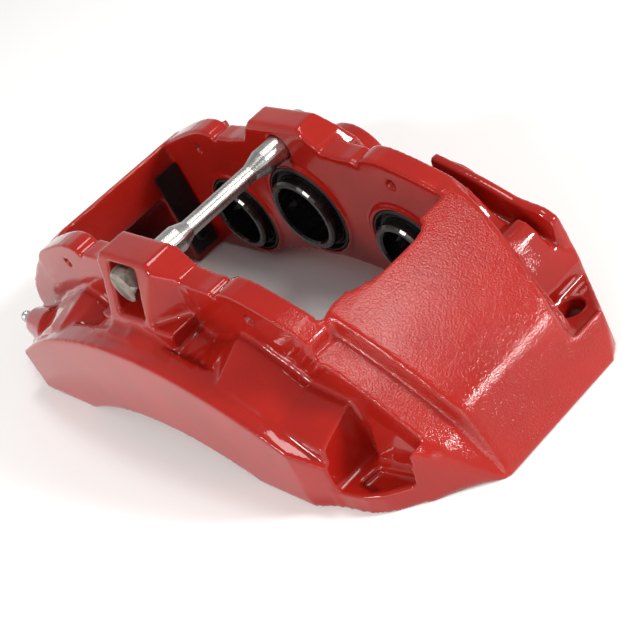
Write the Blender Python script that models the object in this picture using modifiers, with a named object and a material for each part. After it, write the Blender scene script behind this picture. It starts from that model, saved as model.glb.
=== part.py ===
"""Six-piston fixed brake caliper, cast in one piece, with its pistons, seals, boots and fasteners.

Frame: X along the caliper, Y along the disc's axis with the outboard side at -Y, Z away from the
disc's axis.  The origin is on the plane that the four corners stand on, under the middle of the
pad window, half way between the pads.  Lengths below are millimetres; MM turns them into metres.
"""
import math

import bmesh
import bpy
from mathutils import Matrix, Vector

MM = 0.001
GAP = 0.3                 # clearance between touching pieces
ARC_STEP = math.radians(2.5)

# Disc and arch, measured from the disc's axis
AXIS_DROP = 140.0         # the disc's axis lies this far below the base plane
R_BORE_SIDE = 151.0       # clearance arc under both halves
R_SLOT = 196.0            # underside of the bridges, 6 mm over a 380 mm disc
R_LEDGE = 207.0           # outboard ledge of the bridges
R_BAND = 214.0            # raised band on the bridges
R_PISTON = 174.5          # piston axes
R_PLATE = 186.5           # top edge of the outboard face plate

# Plan
WALL = 32.5               # inner side walls, from the middle of the disc
SLOT_HALF = 18.5          # half width of the disc slot through the bridges
WINDOW_HALF = 86.0        # pad window, half length
END_FOOT = 146.0          # end of the body on the base plane
END_RIDGE = 135.5         # ridge between the band and the end facet
RAIL_OUT = 42.5           # outer side of the rails beside the window
BELOW = -3.0              # masses start below the base plane, which is cut last
FACE = 68.5               # outboard face plate
FACE_HALF = 95.0
BAND_EDGE = 30.5          # outboard edge of the raised band

# Top of a piston housing: (x, z) next to the bridges and at its outer side
HOUSING_BACK_Y = 46.0
HOUSING_FRONT_Y = 61.8
HOUSING_TOP = [(-99.6, 25.2, 18.0), (-92.0, 27.5, 22.8), (-80.0, 34.5, 29.5), (-66.0, 40.3, 36.5),
               (-56.0, 44.0, 39.0), (-48.0, 42.0, 38.5), (-42.0, 37.0, 37.0), (-35.0, 37.6, 39.0),
               (-26.0, 45.2, 45.0), (-14.0, 50.0, 47.5), (0.0, 52.0, 48.0), (14.0, 50.5, 46.0),
               (24.0, 44.4, 42.0), (32.0, 41.0, 40.5), (42.0, 43.5, 39.6), (51.0, 48.0, 39.9),
               (60.0, 44.5, 38.0), (70.0, 39.0, 34.5), (79.0, 33.0, 29.5), (98.0, 30.0, 24.5)]

# Pistons: place along X, radius
PISTONS = {"left": (-50.0, 14.5), "middle": (0.0, 16.5), "right": (54.0, 13.5)}
AXIS_DROPPED = {-50.0: 4.0}    # bores set lower than their row's arc
SIDES = {"outboard": -1, "inboard": 1}
BORE_END = 53.0           # closed end of the bores
PISTON_FRONT = 27.5       # open rim of a piston pushed home
PISTON_LENGTH = 25.0
PISTON_WALL = 3.2
BOOT_SEAT_DEPTH = 5.5
BOOT_WIDTH = 4.2          # radial width of the boot seat round a piston
SEAL_PLACE = 40.3         # middle of the seal groove
SEAL_WIDTH = 3.2
SEAL_DEPTH = 2.6

# Tie bolt over the pad window
BOLT_Z = 64.5
BOLT_SHANK = 5.4
BOLT_WAIST = 3.5
BOLT_THREAD = 4.0
HEX_FLATS = 13.0
EAR_TOP = 74.5
EAR_SEAT_OUT = 44.0       # bearing face under the head
EAR_BACK = 44.5           # back of the inboard ear
EAR_SEAT_IN = 41.5        # bearing face under the nut
BOLT_END = 49.5

PIN_X = 60.0              # pad-pin holes
PIN_Z = 56.0
PIN_HOLE = 1.6

MOUNT_X = 124.9           # radial mounting holes in the inboard lugs
MOUNT_Y = 34.2
MOUNT_HOLE = 5.0
TOWER_BACK = 45.2
LUG_TOP = 12.0

PLATE_THICK = 1.2         # abutment plates
PLATE_BOTTOM = 4.0
PLATE_TOP = 46.0
SCREW_Z = 12.0

BLEED_X = -106.0          # sealing end of the bleed bosses
BLEED_Y = {-1: -52.0, 1: 62.0}
BLEED_BOSS = 6.5
BLEED_Z = 21.0
BLEED_HOLE = 3.2
BLEED_DEPTH = 15.0


def reset_scene():
    """Remove every object and make the two collections."""
    for obj in list(bpy.data.objects):
        bpy.data.objects.remove(obj, do_unlink=True)
    made = []
    for name in ("brake_caliper", "cutters"):
        collection = bpy.data.collections.new(name)
        bpy.context.scene.collection.children.link(collection)
        made.append(collection)
    return made


PARTS, CUTTERS = reset_scene()


def material(name, colour, roughness, metallic):
    """A Principled material."""
    mat = bpy.data.materials.new(name)
    mat.use_nodes = True
    shader = mat.node_tree.nodes["Principled BSDF"]
    shader.inputs["Base Color"].default_value = (*colour, 1.0)
    shader.inputs["Roughness"].default_value = roughness
    shader.inputs["Metallic"].default_value = metallic
    return mat


# ---------------------------------------------------------------- outlines

def radial_z(radius, x):
    """Height over the base plane of the arc of this radius at x."""
    return math.sqrt(radius * radius - x * x) - AXIS_DROP


def arc(radius, x_from, x_to):
    """Points (x, z) on an arc about the disc's axis."""
    start = math.asin(x_from / radius)
    end = math.asin(x_to / radius)
    steps = max(1, math.ceil(abs(end - start) / ARC_STEP))
    angles = [start + (end - start) * i / steps for i in range(steps + 1)]
    return [(radius * math.sin(a), radius * math.cos(a) - AXIS_DROP) for a in angles]


def flipped(points, side):
    """The outline mirrored in x where side is -1."""
    return [(side * x, y) for x, y in points]


def base_chord(radius):
    """Half length of the arc's chord on the base plane."""
    return math.sqrt(radius * radius - AXIS_DROP * AXIS_DROP)


# ---------------------------------------------------------------- solids

def link(obj, mat=None):
    """Put a part in its collection, or a cutter in the cutters'."""
    if mat is None:
        CUTTERS.objects.link(obj)
        obj.hide_render = True
        obj.display_type = "WIRE"
    else:
        PARTS.objects.link(obj)
        obj.data.materials.clear()
        obj.data.materials.append(mat)
    return obj


def extruded(name, outline, low, high, plane="XZ", mat=None):
    """A flat outline given thickness.  plane XZ runs low..high along Y, XY along Z, YZ along X."""
    curve = bpy.data.curves.new(name, "CURVE")
    curve.dimensions = "2D"
    curve.fill_mode = "BOTH"
    curve.extrude = (high - low) / 2 * MM
    spline = curve.splines.new("POLY")
    spline.points.add(len(outline) - 1)
    for point, (u, v) in zip(spline.points, outline):
        point.co = (u * MM, v * MM, 0, 1)
    spline.use_cyclic_u = True
    outline_obj = bpy.data.objects.new(name + "_outline", curve)
    bpy.context.scene.collection.objects.link(outline_obj)
    middle = (high + low) / 2 * MM
    turns = {
        "XY": Matrix.Translation((0, 0, middle)),
        "XZ": Matrix.Translation((0, middle, 0)) @ Matrix.Rotation(math.pi / 2, 4, "X"),
        "YZ": Matrix.Translation((middle, 0, 0)) @ Matrix(((0, 0, 1, 0), (1, 0, 0, 0),
                                                           (0, 1, 0, 0), (0, 0, 0, 1))),
    }
    bpy.context.view_layer.update()
    mesh = bpy.data.meshes.new_from_object(
        outline_obj.evaluated_get(bpy.context.evaluated_depsgraph_get()))
    bpy.data.objects.remove(outline_obj, do_unlink=True)
    mesh.name = name
    tidy_mesh(mesh, turns[plane])
    return link(bpy.data.objects.new(name, mesh), mat)


def tidy_mesh(mesh, matrix=Matrix.Identity(4)):
    """Weld, face outwards and place the mesh's points."""
    bm = bmesh.new()
    bm.from_mesh(mesh)
    bmesh.ops.remove_doubles(bm, verts=bm.verts, dist=1e-6)
    bmesh.ops.transform(bm, matrix=matrix, verts=bm.verts)
    bmesh.ops.dissolve_limit(bm, angle_limit=math.radians(0.5), verts=bm.verts, edges=bm.edges)
    bmesh.ops.recalc_face_normals(bm, faces=bm.faces)
    bm.to_mesh(mesh)
    bm.free()


def cone(name, radius_a, radius_b, start, end, mat=None, segments=32, turn=0.0):
    """A cylinder or cone between two points, from radius_a at start to radius_b at end."""
    start = Vector(start) * MM
    end = Vector(end) * MM
    axis = end - start
    mesh = bpy.data.meshes.new(name)
    bm = bmesh.new()
    bmesh.ops.create_cone(bm, cap_ends=True, segments=segments, radius1=radius_a * MM,
                          radius2=radius_b * MM, depth=axis.length)
    place = Matrix.Translation((start + end) / 2) @ axis.to_track_quat("Z", "Y").to_matrix().to_4x4()
    bmesh.ops.transform(bm, matrix=place @ Matrix.Rotation(turn, 4, "Z"), verts=bm.verts)
    bm.to_mesh(mesh)
    bm.free()
    return link(bpy.data.objects.new(name, mesh), mat)


def box(name, low, high, mat=None):
    """A box between two corners."""
    mesh = bpy.data.meshes.new(name)
    bm = bmesh.new()
    bmesh.ops.create_cube(bm, size=1.0)
    size = [(b - a) * MM for a, b in zip(low, high)]
    centre = [(b + a) / 2 * MM for a, b in zip(low, high)]
    bmesh.ops.transform(bm, matrix=Matrix.Translation(centre) @ Matrix.Diagonal((*size, 1)),
                        verts=bm.verts)
    bm.to_mesh(mesh)
    bm.free()
    return link(bpy.data.objects.new(name, mesh), mat)


def turned(name, profile, origin, axis, mat=None, segments=32):
    """A solid turned about an axis through origin.

    The profile is a closed outline of (radius, distance along the axis).
    """
    area = sum(r1 * z2 - r2 * z1 for (r1, z1), (r2, z2) in zip(profile, profile[1:] + profile[:1]))
    if area > 0:
        profile = profile[::-1]
    mesh = bpy.data.meshes.new(name)
    bm = bmesh.new()
    points = [bm.verts.new((radius * MM, 0, along * MM)) for radius, along in profile]
    for a, b in zip(points, points[1:] + points[:1]):
        if a.co.x > 1e-9 or b.co.x > 1e-9:
            bm.edges.new((a, b))
    bm.to_mesh(mesh)
    bm.free()
    obj = link(bpy.data.objects.new(name, mesh), mat)
    obj.matrix_world = (Matrix.Translation(Vector(origin) * MM)
                        @ Vector(axis).to_track_quat("Z", "Y").to_matrix().to_4x4())
    screw = obj.modifiers.new("turn", "SCREW")
    screw.axis = "Z"
    screw.steps = segments
    screw.render_steps = segments
    screw.use_merge_vertices = True
    screw.merge_threshold = 1e-6
    return obj


def boolean(obj, other, operation="DIFFERENCE"):
    """Add a Boolean modifier."""
    modifier = obj.modifiers.new(operation.lower() + "_" + other.name, "BOOLEAN")
    modifier.operation = operation
    modifier.solver = "EXACT"
    modifier.object = other


def boolean_all(obj, name, others, operation="DIFFERENCE"):
    """Add one Boolean modifier that works with a whole group of solids."""
    group = bpy.data.collections.new(name)
    CUTTERS.children.link(group)
    for other in others:
        CUTTERS.objects.unlink(other)
        group.objects.link(other)
    modifier = obj.modifiers.new(name, "BOOLEAN")
    modifier.operation = operation
    modifier.solver = "EXACT"
    modifier.operand_type = "COLLECTION"
    modifier.collection = group


# ---------------------------------------------------------------- caliper body

def arch_core():
    """The ledge-high arch that carries both halves and both bridges."""
    end = [(END_FOOT + 0.7, BELOW)]
    half = end + arc(R_LEDGE, END_RIDGE - 2.5, 0.0)[:-1]
    outline = half + flipped(half, -1)[::-1]
    return extruded("core", outline, -RAIL_OUT, RAIL_OUT)


def bridge_band(side):
    """The raised band on one bridge, with the flat facet that ends it."""
    outline = [(END_FOOT + 1.2, BELOW), *arc(R_BAND, END_RIDGE, WINDOW_HALF - 2.0),
               (WINDOW_HALF - 2.0, 45.0), (END_FOOT - 14.0, BELOW)]
    band = extruded("band", flipped(outline, side), -BAND_EDGE, 46.0)
    oblique = [(60.0, 46.8), (66.0, 45.0), (94.0, 38.0), (107.5, 33.0), (124.5, 24.2), (134.0, 20.0),
               (150.0, 17.5), (150.0, 50.0), (60.0, 50.0)]
    boolean(band, extruded("band_edge_cut", flipped(oblique, side), -5.0, 90.0, "XY"))
    return band


def rail(side):
    """The rails beside the pad window, notched next to the ears."""
    top = [(26.0, 63.5), (31.0, 64.0), (42.0, 64.0), (44.0, 61.5), (47.0, 65.0), (51.0, 66.0),
           (57.0, 65.5)]
    outline = [(26.0, 40.0), *top, *arc(R_BAND - 0.5, 62.0, WINDOW_HALF - 2.5), (WINDOW_HALF + 3.0, 52.0),
               (WINDOW_HALF + 3.0, 40.0)]
    return extruded("rail", flipped(outline, side), -RAIL_OUT - 0.15, RAIL_OUT - 0.5)


def loft(name, sections, mat=None):
    """A solid through outlines (x, z) of equal length, given with their places along Y."""
    mesh = bpy.data.meshes.new(name)
    bm = bmesh.new()
    rings = [[bm.verts.new((x * MM, y * MM, z * MM)) for x, z in outline] for y, outline in sections]
    for near, far in zip(rings, rings[1:]):
        for i in range(len(near)):
            bm.faces.new((near[i - 1], near[i], far[i], far[i - 1]))
    bmesh.ops.triangulate(bm, faces=bm.faces)
    bm.faces.new(rings[0])
    bm.faces.new(rings[-1][::-1])
    bmesh.ops.recalc_face_normals(bm, faces=bm.faces)
    bm.to_mesh(mesh)
    bm.free()
    return link(bpy.data.objects.new(name, mesh), mat)


def housing(sign):
    """The block that joins the three bores of one half, with a hump over each bore."""
    feet = [(HOUSING_TOP[-1][0], BELOW), (HOUSING_TOP[0][0], BELOW)]
    back = [(x, z) for x, z, _ in HOUSING_TOP] + feet
    front = [(x, z) for x, _, z in HOUSING_TOP] + feet
    return loft("housing", [(sign * (WALL + 2.0), back), (sign * HOUSING_BACK_Y, back),
                            (sign * HOUSING_FRONT_Y, front)])


def piston_axis(x):
    """Height of a piston's axis over the base plane."""
    return radial_z(R_PISTON, x) - AXIS_DROPPED.get(x, 0.0)


def dome(x, radius, sign):
    """The tapered casting round one inboard bore."""
    z = piston_axis(x)
    return cone("dome", radius + 5.0, radius + 1.5, (x, sign * (WALL + 6.0), z), (x, sign * 66.0, z),
                segments=28)


def face_plate():
    """The plain outboard face plate under the humps."""
    outline = [*arc(R_PLATE, FACE_HALF + 3.0, -FACE_HALF), (-FACE_HALF, BELOW), (FACE_HALF + 3.0, BELOW)]
    plate = extruded("face_plate", outline, -FACE, -HOUSING_FRONT_Y + 4.0)
    slope = [(83.4, -FACE - 5.0), (83.4, -FACE - 1.0), (99.0, -FACE + 5.0), (110.0, -FACE + 5.0),
             (110.0, -FACE - 5.0)]
    boolean(plate, extruded("plate_slope", slope, -10.0, 90.0, "XY"))
    return plate


def ear(sign):
    """The ear that one end of the tie bolt passes through."""
    seat = EAR_SEAT_OUT + 3.0 if sign < 0 else EAR_BACK
    front = [(-27.0, 59.0), (-14.5, EAR_TOP), (16.0, EAR_TOP), (24.0, 67.0), (28.0, 60.0), (23.0, 44.0), (-20.0, 44.0)]
    profile = [(WALL - 4.0, 40.0), (WALL - 4.0, EAR_TOP - 8.5), (WALL + 5.0, EAR_TOP + 5.0),
               (seat, EAR_TOP + 5.0), (seat, EAR_TOP), (seat + 9.0, 50.0), (seat + 9.0, 40.0)]
    low, high = sorted((sign * (WALL - 6.0), sign * (seat + 12.0)))
    block = extruded("ear", front, low, high)
    boolean(block, extruded("ear_profile", flipped(profile, sign), -40.0, 40.0, "YZ"), "INTERSECT")
    return block


def foot(side):
    """The bottom flange that spreads out to one end of the outboard half."""
    outline = [(88.0, BELOW), (88.0, 8.0), (124.0, 8.0), (127.0, radial_z(R_LEDGE, 127.0) - 1.0),
               (140.0, 8.0), (END_FOOT + 0.7, BELOW)]
    return extruded("foot", flipped(outline, side), -65.0, -24.0)


def hull(name, points):
    """The convex solid round a few points."""
    mesh = bpy.data.meshes.new(name)
    bm = bmesh.new()
    corners = [bm.verts.new(tuple(value * MM for value in point)) for point in points]
    bmesh.ops.convex_hull(bm, input=corners)
    bmesh.ops.recalc_face_normals(bm, faces=bm.faces)
    bm.to_mesh(mesh)
    bm.free()
    return link(bpy.data.objects.new(name, mesh))


def foot_web():
    """The web that rises from the right foot's pocket to the ledge."""
    return hull("foot_web", [(103.0, -47.5, 2.0), (131.0, -43.4, 2.0), (100.0, -40.0, 2.0), (134.0, -40.0, 2.0),
                             (103.2, -47.3, 8.7), (130.8, -43.5, 8.7), (101.0, -40.0, 34.0),
                             (121.0, -40.0, 26.0), (132.5, -40.0, 14.0)])


def foot_pocket():
    """The shallow three-cornered pocket in the right foot."""
    outline = [(103.2, -57.6), (104.8, -49.2), (125.5, -45.9), (111.0, -58.8)]
    return extruded("foot_pocket", outline, 5.2, 12.0, "XY")


def ear_trims():
    """What is cut away beside the outboard ear: a slim rib stays on its left and a wedge on its right."""
    left = [(-15.5, -66.0), (-15.5, -50.0), (-22.0, -43.2), (-40.0, -43.2), (-40.0, -66.0)]
    right = [(13.2, -66.0), (13.2, -53.0), (24.5, -43.2), (45.0, -43.2), (45.0, -66.0)]
    return [extruded("ear_trim", left, 50.2, 82.0, "XY"), extruded("ear_trim", right, 50.7, 82.0, "XY")]


def left_shoulder():
    """The round outboard shoulder at the left end."""
    top = [(-58.0, 63.6), (-64.0, 63.4), (-72.0, 60.7), (-86.0, 54.0), (-98.0, 45.5), (-108.0, 36.6)]
    return extruded("left_shoulder", [(-58.0, 40.0), *top, (-108.0, 20.0)], -42.3, -33.0)


def lug_room(side):
    """What makes way in the arch for the lug's trough, tower and pocket."""
    outline = [(88.5, 39.8), (94.0, 38.6), (107.5, 33.6), (119.5, 29.4), (132.0, 24.8), (141.0, 21.5),
               (165.0, 18.0), (165.0, 60.0), (88.5, 60.0)]
    return extruded("lug_room", flipped(outline, side), 4.0, 90.0, "XY")


def lug(side):
    """The inboard mounting lug: trough, tower, slope and the pocket for the bolt's head."""
    front = [(84.0, BELOW), (84.0, 50.0), (88.0, 45.0), (92.5, 38.5), (97.0, 35.0), (100.5, 36.8),
             (103.5, 38.5), (107.0, 38.0), (110.5, 34.5), (119.5, 18.0), (118.5, LUG_TOP),
             (131.0, LUG_TOP), (136.5, 12.5), (139.8, 15.4), (END_FOOT + 0.9, BELOW)]
    block = extruded("lug", flipped(front, side), 18.0, 54.0)
    recess = [(80.0, 20.5), (114.8, 20.5), (114.8, 60.0), (80.0, 60.0)]
    boolean(block, extruded("lug_recess", flipped(recess, side), TOWER_BACK, 60.0))
    return block


def back_rib(side):
    """The curved wall along the back of the inboard half, sloping into the trough."""
    outline = [*arc(R_LEDGE - 1.0, 64.0, 98.0), (110.0, 38.5), (114.5, 35.4), (116.0, 27.0), (117.5, 17.0),
               (119.0, BELOW), (64.0, BELOW)]
    low = [(x, max(z - 15.0, BELOW)) for x, z in outline]
    low[-3:] = [(117.3, 5.0), (119.0, BELOW), (64.0, BELOW)]
    return loft("back_rib", [(y, flipped(line, side)) for y, line in ((45.3, low), (49.6, outline), (53.5, outline))])


def bleed_boss(sign):
    """The boss that takes a bleed screw, at the left end of one half."""
    root = 10.7 if sign < 0 else BLEED_BOSS
    return cone("bleed_boss", root, BLEED_BOSS, (BLEED_X + 18.7, BLEED_Y[sign], BLEED_Z),
                (BLEED_X, BLEED_Y[sign], BLEED_Z), segments=24)


def bore_cutter(x, radius, sign):
    """One bore with its seal groove and the seat of its boot, as a turned cutter."""
    seat = radius + BOOT_WIDTH
    groove = radius + SEAL_DEPTH
    clear = radius + GAP
    half = SEAL_WIDTH / 2
    profile = [(0, -8.0), (seat, -8.0), (seat, BOOT_SEAT_DEPTH), (clear, BOOT_SEAT_DEPTH),
               (clear, SEAL_PLACE - WALL - half), (groove, SEAL_PLACE - WALL - half),
               (groove, SEAL_PLACE - WALL + half), (clear, SEAL_PLACE - WALL + half),
               (clear, BORE_END - WALL), (0, BORE_END - WALL)]
    return turned("bore", profile, (x, sign * WALL, piston_axis(x)), (0, sign, 0), segments=32)


def boot_lip(x, radius, sign):
    """The thin raised lip round a boot seat."""
    outer = radius + BOOT_WIDTH + 1.6
    z = piston_axis(x)
    return cone("boot_lip", outer + 0.6, outer, (x, sign * (WALL + 3.0), z), (x, sign * (WALL - 1.2), z),
                segments=32)


def window_bow():
    """The hollow in the right end of the pad window, between the abutment plates."""
    outline = [(80.0, -19.3), (86.0, -19.3), (88.9, -13.5), (90.5, -5.0), (90.8, 4.5), (90.0, 14.0),
               (88.4, 19.3), (80.0, 19.3)]
    return extruded("window_bow", outline, -4.0, 90.0, "XY")


def corner_trims(side):
    """What is cut away outside the slanting corners of one end."""
    outboard = [(97.0, -64.5), (99.0, -64.0), (104.0, -63.5), (110.0, -62.0), (116.0, -59.0), (131.0, -45.5),
                (END_FOOT, -BAND_EDGE), (END_FOOT + 20.0, -BAND_EDGE + 16.0), (END_FOOT + 20.0, -90.0),
                (97.0, -90.0)]
    inboard = [(112.0, 58.0), (112.0, 54.0), (117.0, 52.5), (126.0, 45.5), (141.5, 33.0), (END_FOOT, 25.5),
               (END_FOOT + 20.0, -3.5), (END_FOOT + 20.0, 90.0), (112.0, 90.0)]
    return [extruded("corner_trim", flipped(outline, side), -5.0, 90.0, "XY")
            for outline in (outboard, inboard)]


def left_shoulder_trim():
    """The rounder upper corner at the left end of the outboard half."""
    outline = [(-117.0, -70.0), (-117.0, -42.0), (-131.0, -37.5), (-150.0, -27.0), (-170.0, -27.0),
               (-170.0, -70.0)]
    round_end = [(-106.4, 38.1), (-108.0, 36.6), (-113.0, 30.6), (-116.0, 25.2), (-118.0, 19.0),
                 (-118.5, 10.0), (-175.0, 10.0), (-175.0, 80.0), (-106.4, 80.0)]
    return [extruded("left_shoulder_trim", outline, 9.0, 90.0, "XY"),
            extruded("left_shoulder_trim", round_end, -75.0, -33.4)]


def caliper_body(paint):
    """The one-piece casting."""
    body = arch_core()
    CUTTERS.objects.unlink(body)
    PARTS.objects.link(body)
    body.name = "caliper_body"
    body.hide_render = False
    body.display_type = "TEXTURED"
    body.data.materials.append(paint)
    boolean_all(body, "lug_rooms", [lug_room(-1), lug_room(1)])
    boolean_all(body, "body_masses", body_masses(), "UNION")
    boolean_all(body, "body_cuts", body_cuts())
    lips = [boot_lip(x, radius, sign) for sign in SIDES.values() for x, radius in PISTONS.values()]
    boolean_all(body, "boot_lips", lips, "UNION")
    boolean_all(body, "body_holes", body_holes())
    return body


def body_masses():
    """Everything that is added to the arch."""
    masses = [face_plate(), foot_web(), left_shoulder()]
    for sign in SIDES.values():
        masses += [housing(sign), bleed_boss(sign), ear(sign)]
    masses += [dome(x, radius, 1) for x, radius in PISTONS.values()]
    for side in (-1, 1):
        masses += [rail(side), foot(side), bridge_band(side), lug(side), back_rib(side)]
    return masses


def body_cuts():
    """The base plane, the clearance arc, the pad window, the disc slot and the slanting corners."""
    slot, under = ([(half, -12.0), *arc(radius, half, -half), (-half, -12.0)]
                   for radius in (R_SLOT, R_BORE_SIDE) for half in (base_chord(radius) + 3.0,))
    return [box("window", (-WINDOW_HALF, -WALL, -5.0), (WINDOW_HALF, WALL, 90.0)),
            extruded("disc_slot", slot, -SLOT_HALF, SLOT_HALF),
            box("base_cut", (-160.0, -90.0, -30.0), (160.0, 90.0, 0.0)),
            extruded("under_cut", under, -90.0, 90.0), foot_pocket(), window_bow(), *left_shoulder_trim(), *ear_trims(),
            box("head_pocket", (-8.8, -70.0, BOLT_Z - 12.0), (8.8, -EAR_SEAT_OUT, BOLT_Z + 7.2)),
            box("nut_pocket", (-8.8, EAR_SEAT_IN, BOLT_Z - 8.0), (8.8, 70.0, BOLT_Z + 7.2)),
            *corner_trims(-1), *corner_trims(1)]


def body_holes():
    """Every bore and drilled hole."""
    hole = BOLT_SHANK + GAP
    holes = [cone("bolt_hole", hole, hole, (0, -60.0, BOLT_Z), (0, 60.0, BOLT_Z))]
    for sign in SIDES.values():
        holes += [bore_cutter(x, radius, sign) for x, radius in PISTONS.values()]
        holes.append(bleed_hole(sign))
        for side in (-1, 1):
            holes.append(abutment_hole(side, sign))
            holes.append(cone("pin_hole", PIN_HOLE, PIN_HOLE, (side * PIN_X, sign * (WALL - 5.0), PIN_Z),
                              (side * PIN_X, sign * 70.0, PIN_Z), segments=16))
    for side in (-1, 1):
        holes.append(cone("mount_hole", MOUNT_HOLE, MOUNT_HOLE, (side * MOUNT_X, MOUNT_Y, -5.0),
                          (side * MOUNT_X, MOUNT_Y, 60.0)))
    return holes


# ---------------------------------------------------------------- pistons, seals, boots

def piston(name, x, radius, sign, mat):
    """A hollow piston, open towards the pad, with a groove for its boot."""
    wall = PISTON_WALL
    floor = 7.0
    groove = WALL - PISTON_FRONT + BOOT_SEAT_DEPTH - 3.0
    profile = [(0, PISTON_LENGTH), (radius - 1.0, PISTON_LENGTH), (radius, PISTON_LENGTH - 1.0),
               (radius, groove + 2.6), (radius - 1.1, groove + 2.0), (radius - 1.1, groove),
               (radius, groove - 0.6), (radius, 0.8), (radius - 0.8, 0), (radius - wall + 0.8, 0),
               (radius - wall, 0.8), (radius - wall, PISTON_LENGTH - floor - 1.5),
               (radius - wall - 1.5, PISTON_LENGTH - floor), (0, PISTON_LENGTH - floor)]
    return turned(name, profile, (x, sign * PISTON_FRONT, piston_axis(x)), (0, sign, 0), mat)


def seal(name, x, radius, sign, mat):
    """A square-section seal in its groove."""
    inner = radius + GAP
    outer = radius + SEAL_DEPTH - GAP
    half = SEAL_WIDTH / 2 - GAP
    profile = [(outer, -half), (outer, half), (inner, half), (inner, -half)]
    return turned(name, profile, (x, sign * SEAL_PLACE, piston_axis(x)), (0, sign, 0), mat, 28)


def boot(name, x, radius, sign, mat):
    """A dust boot: a ring with one fold, seated round the mouth of a bore."""
    inner = radius + GAP
    outer = radius + BOOT_WIDTH - GAP
    back = BOOT_SEAT_DEPTH - GAP
    width = outer - inner
    profile = [(outer, -0.6), (outer, back), (inner, back), (inner, 0.2), (inner + 0.25 * width, -0.2),
               (inner + 0.4 * width, 1.4), (inner + 0.6 * width, 1.4), (inner + 0.75 * width, -1.0)]
    return turned(name, profile, (x, sign * WALL, piston_axis(x)), (0, sign, 0), mat)


# ---------------------------------------------------------------- fasteners and small parts

def hexagon(name, flats, start, end, mat=None, turn=0.0):
    """A hexagonal bar between two points."""
    corner = flats / 2 / math.cos(math.pi / 6)
    return cone(name, corner, corner, start, end, mat, segments=6, turn=turn)


def chamfered(obj, start, end, corner):
    """Round the corners of a hexagon's outer face, start to end along its axis."""
    boolean(obj, cone("hex_chamfer", corner + 3.5, corner - 0.9, start, end, segments=32), "INTERSECT")


def bridge_bolt(mat):
    """The waisted tie bolt with its hexagon head."""
    corner = HEX_FLATS / 2 / math.cos(math.pi / 6)
    head_start = -EAR_SEAT_OUT - GAP
    head_end = head_start - 7.5
    waist_from = -WALL + 9.5
    waist_to = WALL - 9.5
    thread_from = EAR_SEAT_IN - 2.0
    profile = [(0, head_start - 1.0), (BOLT_SHANK, head_start - 1.0), (BOLT_SHANK, waist_from),
               (BOLT_WAIST, waist_from + 5.5), (BOLT_WAIST, waist_to - 6.5), (BOLT_SHANK, waist_to),
               (BOLT_SHANK, thread_from), (BOLT_THREAD, thread_from + 1.0), (BOLT_THREAD, BOLT_END - 1.0),
               (BOLT_THREAD - 1.0, BOLT_END), (0, BOLT_END)]
    bolt = turned("bridge_bolt", profile, (0, 0, BOLT_Z), (0, 1, 0), mat, 32)
    head = hexagon("bolt_head", HEX_FLATS, (0, head_start, BOLT_Z), (0, head_end, BOLT_Z), turn=math.pi / 6)
    chamfered(head, (0, head_start + 3.0, BOLT_Z), (0, head_end, BOLT_Z), corner)
    boolean(bolt, head, "UNION")
    return bolt


def bridge_nut(mat):
    """The nut on the tie bolt."""
    corner = HEX_FLATS / 2 / math.cos(math.pi / 6)
    start = EAR_SEAT_IN + GAP
    end = start + 6.8
    nut = hexagon("bridge_nut", HEX_FLATS, (0, start, BOLT_Z), (0, end, BOLT_Z), mat, turn=math.pi / 6)
    chamfered(nut, (0, start - 3.0, BOLT_Z), (0, end, BOLT_Z), corner)
    bore = BOLT_THREAD + GAP
    boolean(nut, cone("nut_bore", bore, bore, (0, start - 2.0, BOLT_Z), (0, end + 2.0, BOLT_Z)))
    return nut


def bleed_screw(name, sign, mat):
    """A bleed screw: seat cone, thread, hexagon and hose nipple."""
    thread = BLEED_HOLE - GAP
    seat = BLEED_DEPTH - GAP
    profile = [(0, -seat), (1.2, -seat + 0.8), (1.6, -seat + 4.0), (thread, -seat + 4.5), (thread, 1.0),
               (3.4, 1.0), (3.4, 5.4), (2.0, 5.8), (2.0, 8.6), (2.6, 9.4), (2.6, 10.4), (1.8, 12.0),
               (0, 12.0)]
    origin = (BLEED_X, BLEED_Y[sign], BLEED_Z)
    screw = turned(name, profile, origin, (-1, 0, 0), mat, 24)
    boolean(screw, hexagon("bleed_hex", 7.0, (BLEED_X - GAP, BLEED_Y[sign], BLEED_Z),
                           (BLEED_X - 5.0, BLEED_Y[sign], BLEED_Z)), "UNION")
    return screw


def bleed_hole(sign):
    """The threaded hole under a bleed screw."""
    return cone("bleed_hole", BLEED_HOLE, BLEED_HOLE, (BLEED_X - 5.0, BLEED_Y[sign], BLEED_Z),
                (BLEED_X + BLEED_DEPTH, BLEED_Y[sign], BLEED_Z), segments=24)


def abutment_plate(name, side, sign, mat):
    """A flat wear plate on one end wall of the pad window, with its screw's hole."""
    near = SLOT_HALF + 1.0
    far = WALL - 1.0
    inner = WINDOW_HALF - GAP - PLATE_THICK
    outer = WINDOW_HALF - GAP
    y_low, y_high = sorted((sign * near, sign * far))
    x_low, x_high = sorted((side * inner, side * outer))
    plate = box(name, (x_low, y_low, PLATE_BOTTOM), (x_high, y_high, PLATE_TOP), mat)
    y = sign * (near + far) / 2
    boolean(plate, cone("plate_hole", 2.3, 2.3, (side * (inner - 3.0), y, SCREW_Z),
                        (side * (outer + 3.0), y, SCREW_Z), segments=20))
    return plate


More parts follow.
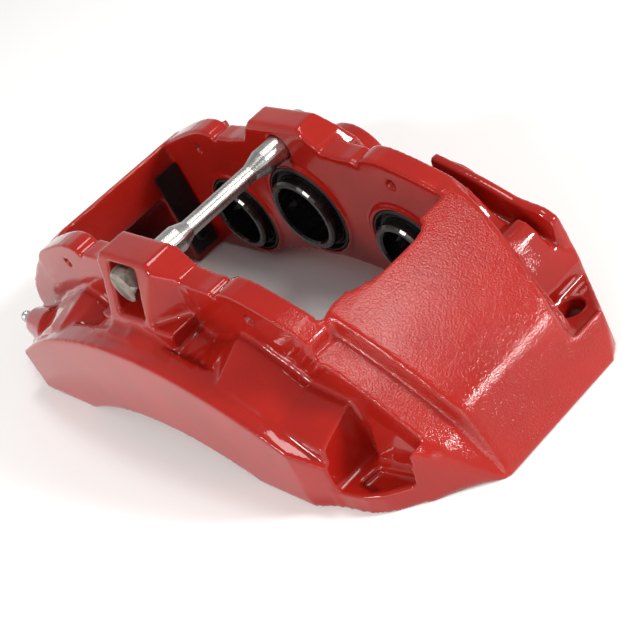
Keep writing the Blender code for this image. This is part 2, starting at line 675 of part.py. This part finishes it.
def abutment_screw(name, side, sign, mat):
    """The low-headed screw that holds an abutment plate."""
    y = sign * (SLOT_HALF + WALL) / 2
    face = WINDOW_HALF - GAP - PLATE_THICK - GAP
    profile = [(0, -1.4), (2.6, -1.4), (3.4, -0.8), (3.4, 0), (2.0, 0), (2.0, 9.0), (0, 9.0)]
    screw = turned(name, profile, (side * face, y, SCREW_Z), (side, 0, 0), mat, 20)
    boolean(screw, hexagon("screw_socket", 2.5, (side * (face - 3.0), y, SCREW_Z),
                           (side * (face - 0.4), y, SCREW_Z)))
    return screw


def abutment_hole(side, sign):
    """The tapped hole behind an abutment plate."""
    y = sign * (SLOT_HALF + WALL) / 2
    return cone("abutment_hole", 2.3, 2.3, (side * (WINDOW_HALF - 3.0), y, SCREW_Z),
                (side * (WINDOW_HALF + 10.0), y, SCREW_Z), segments=20)


def main():
    """Build every piece."""
    paint = material("red_paint", (0.52, 0.012, 0.014), 0.25, 0.0)
    anodised = material("black_anodised", (0.02, 0.02, 0.02), 0.3, 0.6)
    rubber = material("black_rubber", (0.015, 0.015, 0.015), 0.55, 0.0)
    steel = material("bright_steel", (0.62, 0.61, 0.59), 0.28, 1.0)
    zinc = material("zinc_plated", (0.5, 0.5, 0.46), 0.45, 1.0)
    coated = material("black_coated_steel", (0.012, 0.012, 0.012), 0.5, 0.3)

    caliper_body(paint)
    for half, sign in SIDES.items():
        for place, (x, radius) in PISTONS.items():
            piston(f"piston_{half}_{place}", x, radius, sign, anodised)
            seal(f"piston_seal_{half}_{place}", x, radius, sign, rubber)
            boot(f"dust_boot_{half}_{place}", x, radius, sign, rubber)
        for end, side in (("left", -1), ("right", 1)):
            abutment_plate(f"abutment_plate_{half}_{end}", side, sign, coated)
            abutment_screw(f"abutment_screw_{half}_{end}", side, sign, zinc)
        bleed_screw(f"bleed_screw_{half}", sign, zinc)
    bridge_bolt(steel)
    bridge_nut(zinc)
    for obj in PARTS.objects:
        obj.data.shade_smooth()
        obj.data.set_sharp_from_angle(angle=math.radians(35))


main()
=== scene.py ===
"""Looks of the six-piston brake caliper.

A cast, painted body stands in for the CAD body. Every other piece keeps its CAD shape and gets a
material. Everything is in metres, unless its comment says millimetres, in the frame's axes: X along the
caliper, Y along the disc's axis (outboard is -Y), Z away from the disc.
"""

import math

import bmesh
import bpy
from mathutils import Matrix, Vector


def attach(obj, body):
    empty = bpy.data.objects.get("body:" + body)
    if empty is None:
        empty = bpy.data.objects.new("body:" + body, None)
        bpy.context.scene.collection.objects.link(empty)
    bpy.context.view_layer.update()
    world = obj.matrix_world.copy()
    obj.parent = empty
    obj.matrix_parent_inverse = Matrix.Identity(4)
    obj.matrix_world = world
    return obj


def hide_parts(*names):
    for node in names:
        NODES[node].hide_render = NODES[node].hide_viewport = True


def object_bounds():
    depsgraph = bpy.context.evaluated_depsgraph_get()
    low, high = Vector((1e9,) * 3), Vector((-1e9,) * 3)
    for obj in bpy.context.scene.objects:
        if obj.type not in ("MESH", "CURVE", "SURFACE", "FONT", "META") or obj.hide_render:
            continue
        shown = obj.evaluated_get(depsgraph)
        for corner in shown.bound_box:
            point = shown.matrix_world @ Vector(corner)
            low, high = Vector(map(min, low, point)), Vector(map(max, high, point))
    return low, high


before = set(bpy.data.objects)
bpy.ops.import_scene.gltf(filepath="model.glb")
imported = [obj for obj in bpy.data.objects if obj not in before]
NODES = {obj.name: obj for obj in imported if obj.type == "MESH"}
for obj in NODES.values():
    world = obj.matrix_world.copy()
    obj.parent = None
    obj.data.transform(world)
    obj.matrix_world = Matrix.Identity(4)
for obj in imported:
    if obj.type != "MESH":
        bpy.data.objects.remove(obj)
CAD_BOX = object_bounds()
SCENE = bpy.context.scene

MM = 0.001
AXIS_DROP = 0.140           # the disc's axis lies this far below the base plane

# The casting's mesh
VOXEL = 0.85 * MM
FILLET_PASSES = 5           # smoothing all over
EDGE_PASSES = 56            # smoothing of the wide soft edges
BODY_FACES = 180000

# Wide soft edges, in millimetres: the end ridges, and the step beside the raised bands
RIDGE_X = 135.5
RIDGE_WIDTH = 7.0
RIDGE_BACK = 24.0
STEP_Y = -30.5
STEP_WIDTH = 3.5
STEP_RADIUS = 204.0
STEP_X = 84.0
STEP_WEIGHT = 0.5

# Cast ribs on the outboard rail: each one's low and high end as x, z in millimetres
RAIL_RIBS = [
    ((74.0, 44.6), (84.6, 52.0)),
    ((77.4, 40.6), (88.4, 49.2)),
    ((80.6, 36.4), (91.6, 45.6)),
]
RIB_RADIUS = 0.0014
RIB_Y = -0.0424

# Pad-pin holes: place, radius, and where the drill starts and ends along y
PIN_X, PIN_Z, PIN_HOLE = 0.060, 0.056, 0.0022
PIN_FROM, PIN_TO = 0.028, 0.060
ROD_SIDES = 24

# Where the paint is coarse: outside this radius, past this x and outboard of this y, each over a range
COARSE_RADIUS = (0.2005, 0.2035)
COARSE_X = (0.070, 0.084)
COARSE_Y = (0.030, 0.046)

# Turning marks per piston and bolt, and the y range in which the bolt's head turns into shank
PISTON_FEED = 0.00045
BOLT_FEED = 0.00040
HEAD_EDGE = (-0.0440, -0.0435)

# Camera: where it stands, its side and up directions, and its lens
CAMERA_PLACE = Vector((0.4641, -0.2280, 0.3226))
CAMERA_RIGHT = Vector((0.63195, 0.65765, -0.41005))
CAMERA_UP = Vector((-0.19152, 0.64519, 0.73963))
CAMERA_LENS = 86.12

# Studio: the world's brightness at the walls and overhead, the lamps' aim and colour, and the floor
WALL_LIGHT, CEILING_LIGHT = 0.72, 0.36
WALL_TOP, CEILING_EDGE = 0.15, 0.75
LIGHT_AIM = Vector((0.0, 0.0, 0.03))
LIGHT_COLOUR = (1.0, 0.97, 0.94)
FLOOR_HALF = 12.0
FLOOR_GAP = 0.0002


# ---------------------------------------------------------------- mesh helpers

def evaluated(obj):
    """Apply every modifier to obj's mesh."""
    graph = bpy.context.evaluated_depsgraph_get()
    mesh = bpy.data.meshes.new_from_object(obj.evaluated_get(graph))
    obj.modifiers.clear()
    obj.data = mesh
    return obj


def modifier(obj, kind, **settings):
    """Add one modifier with its settings."""
    added = obj.modifiers.new(kind.lower(), kind)
    for key, value in settings.items():
        setattr(added, key, value)
    return added


def linked(name, data):
    """A new object in the scene, from a mesh, a light or a camera."""
    obj = bpy.data.objects.new(name, data)
    SCENE.collection.objects.link(obj)
    return obj


def triangles(mesh):
    """How many triangles a mesh makes."""
    return sum(len(face.vertices) - 2 for face in mesh.polygons)


# ---------------------------------------------------------------- node helpers

class Nodes:
    """A short way to build one material's nodes."""

    def __init__(self, name):
        self.material = bpy.data.materials.new(name)
        self.material.use_nodes = True
        self.tree = self.material.node_tree
        self.shader = self.tree.nodes["Principled BSDF"]
        self.place = self.add("ShaderNodeTexCoord").outputs["Object"]

    def add(self, kind, **settings):
        """A node with its properties set."""
        node = self.tree.nodes.new(kind)
        for key, value in settings.items():
            setattr(node, key, value)
        return node

    def join(self, source, target):
        """Connect an output to an input, or put a plain value on it."""
        if isinstance(source, bpy.types.NodeSocket):
            self.tree.links.new(source, target)
        else:
            target.default_value = source

    def noise(self, scale, detail=3.0, roughness=0.5, where=None):
        """Noise, 0 to 1, with scale in repeats per metre of where."""
        node = self.add("ShaderNodeTexNoise")
        node.inputs["Scale"].default_value = scale
        node.inputs["Detail"].default_value = detail
        node.inputs["Roughness"].default_value = roughness
        self.join(where or self.place, node.inputs["Vector"])
        return node.outputs["Fac"]

    def math(self, operation, a, b=0.0):
        """One arithmetic step."""
        node = self.add("ShaderNodeMath", operation=operation)
        for value, socket in zip((a, b), node.inputs):
            self.join(value, socket)
        return node.outputs[0]

    def ramp(self, value, low, high, start=0.0, end=1.0):
        """A value eased from start, at low, to end, at high."""
        node = self.add("ShaderNodeMapRange", interpolation_type="SMOOTHSTEP")
        self.join(value, node.inputs["Value"])
        node.inputs["From Min"].default_value = low
        node.inputs["From Max"].default_value = high
        node.inputs["To Min"].default_value = start
        node.inputs["To Max"].default_value = end
        return node.outputs["Result"]

    def mix(self, factor, a, b):
        """Colour a to colour b by factor."""
        node = self.add("ShaderNodeMix", data_type="RGBA")
        self.join(factor, node.inputs["Factor"])
        for socket, value in zip([s for s in node.inputs if s.type == "RGBA"], (a, b)):
            self.join(value if isinstance(value, bpy.types.NodeSocket) else (*value, 1.0), socket)
        return next(s for s in node.outputs if s.type == "RGBA")

    def axes(self):
        """The object position's three parts."""
        node = self.add("ShaderNodeSeparateXYZ")
        self.join(self.place, node.inputs[0])
        return node.outputs

    def bump(self, height, distance, strength=1.0, after=None):
        """Relief from a height on top of an earlier relief; distance is in metres."""
        node = self.add("ShaderNodeBump")
        node.inputs["Distance"].default_value = distance
        self.join(strength, node.inputs["Strength"])
        self.join(height, node.inputs["Height"])
        if after:
            self.join(after, node.inputs["Normal"])
        self.join(node.outputs["Normal"], self.shader.inputs["Normal"])
        return node.outputs["Normal"]

    def set(self, **values):
        """Plain values or outputs on the shader's own sockets."""
        for key, value in values.items():
            self.join(value, self.shader.inputs[key.replace("_", " ")])
        return self


# ---------------------------------------------------------------- materials

def red_paint():
    """Glossy powder coat over a casting: smooth on the housings, coarse on the bridges."""
    n = Nodes("red_paint")
    x, y, z = n.axes()
    away = n.math("ABSOLUTE", x)
    height = n.math("ADD", z, AXIS_DROP)
    radius = n.math("SQRT", n.math("ADD", n.math("MULTIPLY", x, x), n.math("MULTIPLY", height, height)))
    outside = n.ramp(radius, *COARSE_RADIUS)
    past_window = n.ramp(away, *COARSE_X)
    outboard = n.ramp(y, *COARSE_Y, 1.0, 0.0)
    patches = n.ramp(n.noise(26.0, 2.0), 0.36, 0.56, 0.6, 1.0)
    bands = n.math("MULTIPLY", outside, past_window)
    coarse = n.math("MULTIPLY", bands, n.math("MULTIPLY", outboard, patches))
    grains = n.noise(1400.0, 2.0, 0.55)
    peel = n.noise(330.0, 2.0, 0.45)
    swell = n.noise(95.0, 1.0)
    relief = n.math("ADD", n.math("MULTIPLY", peel, 0.6), n.math("MULTIPLY", swell, 0.9))
    smooth = n.bump(relief, 0.00016, 0.5)
    rough = n.bump(grains, 0.00022, coarse, after=smooth)
    n.join(rough, n.shader.inputs["Coat Normal"])
    tone = n.ramp(n.noise(38.0, 3.0), 0.3, 0.7)
    colour = n.mix(tone, (0.25, 0.0068, 0.0036), (0.29, 0.0086, 0.0044))
    n.set(Base_Color=colour, Roughness=0.40, Coat_Weight=1.0, Coat_Roughness=0.07, Coat_IOR=1.42,
          Specular_IOR_Level=0.05)
    return n.material


def anodised_black():
    """Black hard-anodised aluminium with fine turning marks."""
    n = Nodes("black_anodised")
    _, y, _ = n.axes()
    lines = n.math("SINE", n.math("MULTIPLY", y, 2 * math.pi / PISTON_FEED))
    n.bump(n.math("ADD", lines, n.noise(2600.0)), 0.00001, 0.5)
    worn = n.ramp(n.noise(420.0, 4.0), 0.55, 0.8)
    n.set(Base_Color=n.mix(worn, (0.010, 0.010, 0.010), (0.028, 0.027, 0.026)), Metallic=0.35,
          Roughness=n.ramp(n.noise(300.0), 0.3, 0.7, 0.20, 0.34), Coat_Weight=0.5, Coat_Roughness=0.12)
    return n.material


def rubber_black():
    """Moulded black rubber."""
    n = Nodes("black_rubber")
    n.bump(n.noise(2200.0, 4.0, 0.6), 0.00003, 0.6)
    n.set(Base_Color=n.mix(n.noise(160.0), (0.008, 0.008, 0.008), (0.020, 0.019, 0.018)),
          Roughness=n.ramp(n.noise(260.0), 0.3, 0.7, 0.42, 0.6))
    return n.material


def bolt_steel():
    """Bright turned steel; the bolt's head is forged, phosphated and blotchy."""
    n = Nodes("bright_steel")
    _, y, _ = n.axes()
    head = n.ramp(y, *HEAD_EDGE, 1.0, 0.0)
    feed = n.math("SINE", n.math("MULTIPLY", y, 2 * math.pi / BOLT_FEED))
    grooves = n.noise(1.0, 4.0, 0.6, where=n.math("MULTIPLY", y, 4200.0))
    turned = n.math("ADD", n.math("MULTIPLY", feed, 0.5), grooves)
    scale = n.noise(900.0, 5.0, 0.65)
    marks = n.bump(turned, 0.000018, n.math("SUBTRACT", 0.8, n.math("MULTIPLY", head, 0.8)))
    n.bump(scale, 0.00007, n.math("MULTIPLY", head, 0.8), after=marks)
    stain = n.ramp(n.noise(70.0, 5.0), 0.45, 0.75)
    blotch = n.ramp(n.noise(210.0, 5.0, 0.6), 0.38, 0.64)
    shank = n.mix(stain, (0.60, 0.59, 0.57), (0.40, 0.39, 0.37))
    forged = n.mix(blotch, (0.20, 0.175, 0.14), (0.38, 0.35, 0.30))
    n.set(Base_Color=n.mix(head, shank, forged), Metallic=1.0, Anisotropic=0.4,
          Roughness=n.math("ADD", n.ramp(grooves, 0.2, 0.8, 0.22, 0.34), n.math("MULTIPLY", head, 0.16)))
    return n.material


def zinc_plate():
    """Zinc-plated steel."""
    n = Nodes("zinc_plated")
    n.bump(n.noise(1500.0, 4.0), 0.00002, 0.6)
    haze = n.ramp(n.noise(350.0, 4.0), 0.35, 0.7)
    n.set(Base_Color=n.mix(haze, (0.50, 0.51, 0.50), (0.62, 0.62, 0.58)), Metallic=1.0,
          Roughness=n.ramp(haze, 0.0, 1.0, 0.26, 0.42))
    return n.material


def coated_black():
    """Black baked coating on pressed steel."""
    n = Nodes("black_coated_steel")
    n.bump(n.noise(1400.0, 3.0), 0.00003, 0.5)
    scuff = n.ramp(n.noise(240.0, 5.0), 0.6, 0.8)
    n.set(Base_Color=n.mix(scuff, (0.008, 0.008, 0.009), (0.024, 0.023, 0.022)), Metallic=0.2,
          Roughness=n.ramp(n.noise(90.0), 0.3, 0.7, 0.30, 0.42))
    return n.material


def pale_floor():
    """Plain white studio floor."""
    n = Nodes("studio_floor")
    n.set(Base_Color=n.mix(n.noise(3.0), (0.86, 0.86, 0.86), (0.88, 0.88, 0.88)), Roughness=0.7,
          Specular_IOR_Level=0.2)
    return n.material


# ---------------------------------------------------------------- pieces

def painted(obj, material):
    """Give obj one material and smooth shading."""
    obj.data.materials.clear()
    obj.data.materials.append(material)
    obj.data.shade_smooth()
    return obj


def rod(name, radius, start, end):
    """A hidden cylinder, to join to a body or to cut from it."""
    start = Vector(start)
    end = Vector(end)
    mesh = bpy.data.meshes.new(name)
    bm = bmesh.new()
    turn = (end - start).to_track_quat("Z", "Y").to_matrix().to_4x4()
    bmesh.ops.create_cone(bm, cap_ends=True, segments=ROD_SIDES, radius1=radius, radius2=radius,
                          depth=(end - start).length, matrix=Matrix.Translation((start + end) / 2) @ turn)
    bm.to_mesh(mesh)
    bm.free()
    return hidden(linked(name, mesh))


def hidden(obj):
    """A helper that isn't part of the object."""
    obj.hide_render = True
    obj.hide_viewport = True
    return obj


def combine(obj, operation, others):
    """Boolean obj with each of the others, and throw those away."""
    for other in others:
        modifier(obj, "BOOLEAN", operation=operation, object=other, solver="EXACT")
    evaluated(obj)
    for other in others:
        bpy.data.objects.remove(other)
    return obj


def near_ridges(body):
    """The name of a vertex group on the wide soft edges."""
    group = body.vertex_groups.new(name="wide_edges")
    for vertex in body.data.vertices:
        x, y, z = vertex.co / MM
        radius = math.hypot(x, z + AXIS_DROP / MM)
        away = abs(abs(x) - RIDGE_X)
        ridge = max(0.0, 1.0 - (away / RIDGE_WIDTH) ** 2) if y < RIDGE_BACK - away else 0.0
        on_step = abs(y - STEP_Y) < STEP_WIDTH and radius > STEP_RADIUS and abs(x) > STEP_X
        step = STEP_WEIGHT if on_step else 0.0
        if ridge or step:
            group.add([vertex.index], max(ridge, step), "REPLACE")
    return group.name


def rail_ribs():
    """The cast ribs on the outboard rail."""
    return [rod("rib", RIB_RADIUS, (low_x * MM, RIB_Y, low_z * MM), (high_x * MM, RIB_Y, high_z * MM))
            for (low_x, low_z), (high_x, high_z) in RAIL_RIBS]


def pin_holes():
    """Drills for the four pad-pin holes."""
    return [rod("pin_hole", PIN_HOLE, (side * PIN_X, sign * PIN_FROM, PIN_Z),
                (side * PIN_X, sign * PIN_TO, PIN_Z))
            for side in (-1, 1) for sign in (-1, 1)]


def cast_body(material):
    """The casting: the CAD body with ribs, edges melted into fillets, and pin holes drilled again."""
    body = linked("caliper_casting", NODES["caliper_body"].data.copy())
    combine(body, "UNION", rail_ribs())
    modifier(body, "REMESH", mode="VOXEL", voxel_size=VOXEL, adaptivity=0.0)
    modifier(body, "SMOOTH", factor=0.5, iterations=FILLET_PASSES)
    evaluated(body)
    modifier(body, "SMOOTH", factor=0.5, iterations=EDGE_PASSES, vertex_group=near_ridges(body))
    evaluated(body)
    ratio = BODY_FACES / triangles(body.data)
    if ratio < 1:
        modifier(body, "DECIMATE", ratio=ratio)
        evaluated(body)
    combine(body, "DIFFERENCE", pin_holes())
    painted(body, material)
    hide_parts("caliper_body")
    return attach(body, "caliper")


def carried_over(materials):
    """Materials for the pieces that are shown as the CAD made them.

    A piece takes the first key that its name starts with, so piston_seal comes before piston.
    """
    for name, node in NODES.items():
        if name == "caliper_body":
            continue
        key = next(k for k in materials if name.startswith(k))
        node.data.materials.clear()
        node.data.materials.append(materials[key])


# ---------------------------------------------------------------- studio

def floor(material):
    """The floor that the caliper stands on."""
    mesh = bpy.data.meshes.new("studio_floor")
    level = CAD_BOX[0].z - FLOOR_GAP
    corners = [(x * FLOOR_HALF, y * FLOOR_HALF, level)
               for x, y in ((-1, -1), (1, -1), (1, 1), (-1, 1))]
    mesh.from_pydata(corners, [], [(0, 1, 2, 3)])
    plane = painted(linked("studio_floor", mesh), material)


def soft_box(name, place, width, height, power):
    """An area light at a place in metres, which looks at the caliper."""
    light = bpy.data.lights.new(name, "AREA")
    light.shape = "RECTANGLE"
    light.size = width
    light.size_y = height
    light.energy = power
    light.color = LIGHT_COLOUR
    lamp = linked(name, light)
    lamp.location = place
    lamp.rotation_mode = "QUATERNION"
    lamp.rotation_quaternion = (Vector(place) - LIGHT_AIM).to_track_quat("Z", "Y")


def studio():
    """White walls, a darker ceiling, and four soft boxes: three round the caliper and one above it."""
    world = bpy.data.worlds.new("studio")
    world.use_nodes = True
    tree = world.node_tree
    place = tree.nodes.new("ShaderNodeTexCoord")
    split = tree.nodes.new("ShaderNodeSeparateXYZ")
    shade = tree.nodes.new("ShaderNodeMapRange")
    shade.interpolation_type = "SMOOTHSTEP"
    shade.inputs["From Min"].default_value = WALL_TOP
    shade.inputs["From Max"].default_value = CEILING_EDGE
    shade.inputs["To Min"].default_value = WALL_LIGHT
    shade.inputs["To Max"].default_value = CEILING_LIGHT
    tree.links.new(place.outputs["Generated"], split.inputs[0])
    tree.links.new(split.outputs["Z"], shade.inputs["Value"])
    tree.links.new(shade.outputs["Result"], tree.nodes["Background"].inputs["Strength"])
    tree.nodes["Background"].inputs["Color"].default_value = (1.0, 1.0, 1.0, 1.0)
    SCENE.world = world
    SCENE.view_settings.view_transform = "Standard"
    soft_box("front_fill", (0.95, -1.35, 0.38), 1.2, 0.6, 8.0)
    soft_box("ridge_light", (1.21, 0.73, 0.74), 0.36, 0.30, 24.0)
    soft_box("step_light", (-0.05, -1.28, 0.93), 0.28, 0.24, 14.0)
    soft_box("ceiling", (0.30, 0.45, 1.60), 0.6, 0.4, 8.0)


def camera():
    """The camera, at the height, side and roll that show the disc slot, the window and the outboard face."""
    data = bpy.data.cameras.new("camera")
    data.lens = CAMERA_LENS
    data.sensor_width = 36.0
    data.clip_start = 0.02
    data.clip_end = 50.0
    obj = linked("camera", data)
    back = CAMERA_RIGHT.cross(CAMERA_UP)
    obj.matrix_world = Matrix.Translation(CAMERA_PLACE) @ Matrix(
        (CAMERA_RIGHT, CAMERA_UP, back)).transposed().to_4x4()
    SCENE.camera = obj


def main():
    """Build the looks."""
    steel = zinc_plate()
    cast_body(red_paint())
    carried_over({
        "piston_seal": rubber_black(),
        "piston": anodised_black(),
        "dust_boot": rubber_black(),
        "abutment_plate": coated_black(),
        "abutment_screw": coated_black(),
        "bleed_screw": steel,
        "bridge_bolt": bolt_steel(),
        "bridge_nut": steel,
    })
    floor(pale_floor())
    studio()
    camera()


main()
